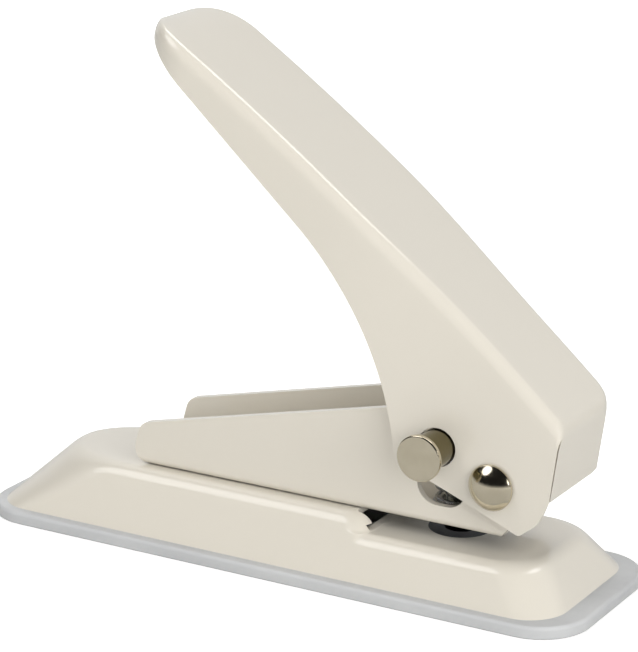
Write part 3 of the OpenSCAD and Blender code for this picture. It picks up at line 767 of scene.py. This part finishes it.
def make_lever(material, pivot, pin):
    """Lever of bent sheet between two skins, with holes for the pivot and the side pin."""
    bm = bmesh.new()
    outer, inner = lever_skin(bm, 0), lever_skin(bm, LEVER_WALL)
    for skins, flip in ((outer, False), (inner, True)):
        for grid, turned in zip(skins, (flip, not flip)):
            patch(bm, grid, turned)
    patch(bm, [path + path[:1] for path in (rim_path(*outer), rim_path(*inner))], False)
    bmesh.ops.remove_doubles(bm, verts=bm.verts, dist=1e-4)
    bmesh.ops.translate(bm, vec=pivot, verts=bm.verts)
    lever = mesh_object("lever_sheet", bm)
    across = (0, 1, 0)
    cut(lever, [
        rod(pivot, across, PIVOT_D + 2 * RUN_FIT, -LEVER_W, LEVER_W),
        rod((pin.x, 0, pin.z), across, BARREL_D + 2 * (RUN_FIT + SIDE_GAP), -LEVER_W, 0),
        rod((pin.x, 0, pin.z), across, SHANK_D + 2 * RUN_FIT, 0, LEVER_W),
    ])
    soften(lever, LEVER_EDGE, 50)
    return finish_piece(lever, "lever", "cream_enamel", material, "lever")


# Frame, fasteners and spring

def soft_copy(source, node, body, slot, material, width):
    """Copy of a CAD node's own shape with small rounded edges."""
    bm = bmesh.new()
    bm.from_mesh(source.data)
    bmesh.ops.scale(bm, vec=(1 / MM,) * 3, verts=bm.verts)
    bmesh.ops.remove_doubles(bm, verts=bm.verts, dist=1e-3)
    bmesh.ops.dissolve_limit(bm, angle_limit=math.radians(1), verts=bm.verts, edges=bm.edges)
    obj = mesh_object(node + "_soft", bm)
    soften(obj, width)
    return finish_piece(obj, body, slot, material, node)


def dome_profile():
    """Rounded rivet head on a short straight rim, from its foot to its crown."""
    radius, cap = DOME_D / 2, DOME_H - DOME_RIM
    ball = (radius**2 + cap**2) / (2 * cap)
    reach = math.degrees(math.asin(radius / ball))
    crown = [(ball * sind(a), DOME_H - ball * (1 - cosd(a))) for a in spread(reach, 0, 16)]
    return [(0, 0), (radius - DOME_FOOT, 0), (radius, DOME_FOOT)] + crown


def make_pivot_heads(material, pivot):
    """Dome heads at both ends of the pivot rivet, with the rivet's shank on the near one."""
    inner = LEVER_W / 2 + SIDE_GAP
    tail = -2 * inner - PIVOT_TAIL
    shank = [(0, tail), (PIVOT_D / 2, tail), (PIVOT_D / 2, 0)]
    near = lathe("pivot_dome_near", shank + dome_profile()[1:], (pivot.x, -inner, pivot.z), (0, -1, 0))
    far = lathe("pivot_dome_far", dome_profile(), (pivot.x, inner, pivot.z), (0, 1, 0))
    for obj, node in ((near, "pivot_rivet"), (far, "pivot_cap")):
        shade(obj, 50)
        finish_piece(obj, "base", "nickel", material, node)


def make_side_pin(material, pin, head_y, ring, far_y):
    """Flat-headed pin: head with rounded rims, barrel, shank and ring groove."""
    ring_low, ring_high = ring
    head, barrel, shank = PIN_HEAD_D / 2, BARREL_D / 2, SHANK_D / 2
    rim = PIN_HEAD_ROUND
    back_y = head_y + PIN_HEAD_T
    profile = [(0, head_y), (head - rim - PIN_FACE_MARGIN, head_y)]
    profile += corner_turn(head - rim, head_y + rim, rim, -90, 0)
    profile += corner_turn(head - rim, back_y - rim, rim, 0, 90)
    profile += [(barrel + BARREL_FILLET, back_y), (barrel, back_y + BARREL_FILLET)]
    profile += [(barrel, -BARREL_END - PIN_CHAMFER), (barrel - PIN_CHAMFER, -BARREL_END)]
    profile += [(shank, -BARREL_END)]
    profile += [(shank, ring_low), (shank - GROOVE, ring_low)]
    profile += [(shank - GROOVE, ring_high), (shank, ring_high)]
    profile += [(shank, far_y - PIN_CHAMFER), (shank - PIN_CHAMFER, far_y), (0, far_y)]
    obj = lathe("side_pin_turned", profile, (pin.x, 0, pin.z), (0, 1, 0))
    shade(obj, 40)
    return finish_piece(obj, "side_pin", "nickel", material, "side_pin")


def make_spring(material, punch_x, low, high, stroke):
    """Coil spring with closed ends, built at one height; the stroke is not used."""
    sides, rings_per_turn, end_turn, close_pitch = 14, 40, 0.75, 1.04
    wire = SPRING_WIRE / 2
    total = SPRING_TURNS + 2 * end_turn
    count = int(total * rings_per_turn)
    bottom, top = low + wire, high - wire
    close = SPRING_WIRE * close_pitch

    def height(turn):
        """Dead turns lie close at both ends, and the live ones share the rest."""
        if turn <= end_turn:
            return bottom + close * turn
        if turn >= total - end_turn:
            return top - close * (total - turn)
        start, end = bottom + close * end_turn, top - close * end_turn
        share = (turn - end_turn) / SPRING_TURNS
        return start + (end - start) * share

    rings = []
    for i in range(count + 1):
        turn = total * i / count
        a = 360 * turn
        out = Vector((cosd(a), sind(a), 0))
        middle = Vector((punch_x, 0, height(turn))) + out * SPRING_D / 2
        rings.append([middle + (out * cosd(b) + Vector((0, 0, 1)) * sind(b)) * wire
                      for b in spread(0, 360, sides)[:-1]])
    bm = bmesh.new()
    skin(bm, rings)
    obj = mesh_object("spring_coil", bm)
    shade(obj, 50)
    finish_piece(obj, "base", "spring_wire", material, "return_spring")
    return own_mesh(obj)


# Stage

def make_camera():
    """Camera at the photograph's viewing angle."""
    a, e = CAMERA_AZIMUTH, CAMERA_ELEVATION
    back = Vector((sind(a) * cosd(e), -cosd(a) * cosd(e), sind(e)))
    data = bpy.data.cameras.new("camera")
    data.sensor_fit = "HORIZONTAL"
    data.sensor_width = SENSOR_WIDTH
    data.lens = FOCAL_PIXELS / IMAGE_WIDTH * SENSOR_WIDTH
    data.clip_start, data.clip_end = 0.01, 20
    camera = link(bpy.data.objects.new("camera", data))
    camera.location = (CAMERA_TARGET + back * CAMERA_DISTANCE) * MM
    camera.rotation_mode = "QUATERNION"
    camera.rotation_quaternion = (-back).to_track_quat("-Z", "Y")
    bpy.context.scene.camera = camera


def make_floor():
    """Pale floor: white to the camera where it is lit, and darker in the object's shadow."""
    bm = bmesh.new()
    bmesh.ops.create_grid(bm, x_segments=1, y_segments=1, size=FLOOR_HALF)
    floor = mesh_object("floor", bm)
    r = Recipe("floor")
    r.settle(Base_Color=FLOOR_COLOUR, Roughness=0.9, Specular_IOR_Level=0.1)
    reach = r.add("ShaderNodeVectorMath", operation="LENGTH")
    r.join(r.place, reach, 0)
    strength = r.ranged(reach.outputs["Value"], FLOOR_GLOW_NEAR, FLOOR_GLOW_FAR, FLOOR_NEAR, FLOOR_FAR)
    glow = r.add("ShaderNodeEmission")
    r.join(strength, glow, "Strength")
    nothing = r.add("ShaderNodeEmission", Strength=0)
    to_camera = r.add("ShaderNodeLightPath").outputs["Is Camera Ray"]
    total = r.add("ShaderNodeAddShader")
    r.join(r.shader.outputs[0], total, 0)
    r.join(r.mix_shaders(to_camera, nothing.outputs[0], glow.outputs[0]), total, 1)
    r.join(total.outputs[0], r.tree.nodes["Material Output"], "Surface")
    floor.data.materials.append(r.material)


def soft_light(name, direction, distance, size, radiance, shape="RECTANGLE", glossy=True, diffuse=True):
    """Soft light in a direction from the object; its size is (across, up) in millimetres."""
    width, height = (length * MM for length in size)
    data = bpy.data.lights.new(name, "AREA")
    data.shape = shape
    data.size, data.size_y = width, height
    round_share = math.pi / 4 if shape == "ELLIPSE" else 1
    data.energy = radiance * math.pi * width * height * round_share
    lamp = link(bpy.data.objects.new(name, data))
    toward = Vector(direction).normalized()
    lamp.location = (LIGHT_TARGET + toward * distance) * MM
    lamp.rotation_mode = "QUATERNION"
    lamp.rotation_quaternion = (-toward).to_track_quat("-Z", "Y")
    lamp.visible_glossy = glossy
    lamp.visible_diffuse = diffuse


def make_lights():
    """Round key, overhead strip for the sheen, fills that no reflection shows, and a glint at the right."""
    soft_light("key", (-0.48, -0.42, 0.77), 950, (620, 620), 2.75, "ELLIPSE")
    soft_light("overhead", (0, 0.25, 0.87), 1000, (1100, 380), 4.0, diffuse=False)
    soft_light("right_fill", (0.8, -0.4, 0.36), 1000, (800, 800), 3.15, glossy=False)
    soft_light("front_fill", (0.2, -0.94, 0.22), 1100, (900, 500), 2.25, glossy=False)
    soft_light("back_fill", (-0.5, 0.8, 0.4), 1100, (900, 600), 3.2, glossy=False)
    soft_light("glint", (0.92, -0.33, 0.27), 900, (90, 260), 6)


def make_world():
    """White to the camera; a white backdrop and a dim room in reflections; soft fill from above."""
    world = bpy.data.worlds.new("studio")
    world.use_nodes = True
    w = NodeMaker(world.node_tree)
    w.tree.nodes.clear()

    def glow(strength):
        return w.add("ShaderNodeBackground", Color=WHITE, Strength=strength).outputs[0]

    direction = w.add("ShaderNodeTexCoord").outputs["Generated"]
    height = w.along(direction, "Z")
    behind = w.ranged(w.along(direction, "Y"), 0, 1, 0, 0.4)
    above = w.ranged(height, 0, 1, 0.02, 0.14)
    room = w.mix_shaders(above, glow(0.45), glow(0.012))
    mirrored = w.mix_shaders(behind, room, glow(0.8))
    fill = w.mix_shaders(w.ranged(height, 0, 1, 0.1, 0.7), glow(0.07), glow(0.36))
    paths = w.add("ShaderNodeLightPath").outputs
    bounced = w.add("ShaderNodeMath", operation="MAXIMUM")
    w.join(paths["Is Glossy Ray"], bounced, 0)
    w.join(paths["Is Transmission Ray"], bounced, 1)
    lit = w.mix_shaders(bounced.outputs[0], fill, mirrored)
    final = w.mix_shaders(paths["Is Camera Ray"], lit, glow(1))
    w.join(final, w.add("ShaderNodeOutputWorld"), "Surface")
    bpy.context.scene.world = world


# Build

def middle_of(node):
    """Middle of a CAD node's box, in millimetres."""
    low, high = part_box(node)
    return (low + high) / 2 / MM


def reach_of(node, axis):
    """Lowest and highest place of a CAD node along an axis, in millimetres."""
    return [corner[axis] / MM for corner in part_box(node)]


def corners(box):
    """Corners of a box as plain lists."""
    return [list(corner) for corner in box]


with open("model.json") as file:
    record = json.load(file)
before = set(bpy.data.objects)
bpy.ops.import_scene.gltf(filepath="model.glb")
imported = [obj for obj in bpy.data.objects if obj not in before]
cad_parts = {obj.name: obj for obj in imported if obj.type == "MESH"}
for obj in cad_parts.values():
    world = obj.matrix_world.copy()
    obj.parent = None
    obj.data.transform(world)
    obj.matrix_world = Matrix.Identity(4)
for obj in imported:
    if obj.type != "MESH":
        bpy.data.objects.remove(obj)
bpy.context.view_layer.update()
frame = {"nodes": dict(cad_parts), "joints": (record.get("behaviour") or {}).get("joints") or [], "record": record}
materials = make_materials()
slots = {part["node"]: part["material_slot"] for part in frame["record"]["subparts"]}
for node, obj in frame["nodes"].items():
    obj.data.materials.clear()
    obj.data.materials.append(materials[slots[node]])
# Painted shade: the die and its ring get the dark metal, for the shade in the paper slot
for node in ("die", "die_ring"):
    frame["nodes"][node].data.materials[0] = materials["die_shade_metal"]

joints = {joint["name"]: joint for joint in frame["joints"]}
pivot = Vector(joints["lever_press"]["pos_m"]) / MM
pin = middle_of("side_pin")
punch_x = middle_of("punch_rod").x
pin_y = reach_of("side_pin", 1)
ring_y = reach_of("side_pin_ring", 1)
spring_z = reach_of("return_spring", 2)
stroke = joints["punch_stroke"]["range_m"][1] / MM

make_camera()
make_base(materials["cream_enamel"], punch_x, RIVET_PLACES)
make_tray(materials["grey_plastic"])
make_lever(materials["cream_enamel"], pivot, pin)
# The frame's paint has painted shade on its downward faces
frame_paint = cream_enamel("cream_enamel_frame", shade_below=True)
soft_copy(frame["nodes"]["frame"], "frame", "base", "cream_enamel", frame_paint, FRAME_EDGE)
make_pivot_heads(materials["nickel"], pivot)
# The side pin's nickel has painted shade on its barrel past the head
barrel_shaded_nickel = metal("nickel_pin", *NICKEL, shade_from=pin_y[0] + PIN_HEAD_T)
make_side_pin(barrel_shaded_nickel, pin, pin_y[0], ring_y, pin_y[1])
make_spring(materials["spring_wire"], punch_x, *spring_z, stroke)
make_floor()
make_lights()
make_world()
bpy.context.scene.view_settings.view_transform = "Standard"
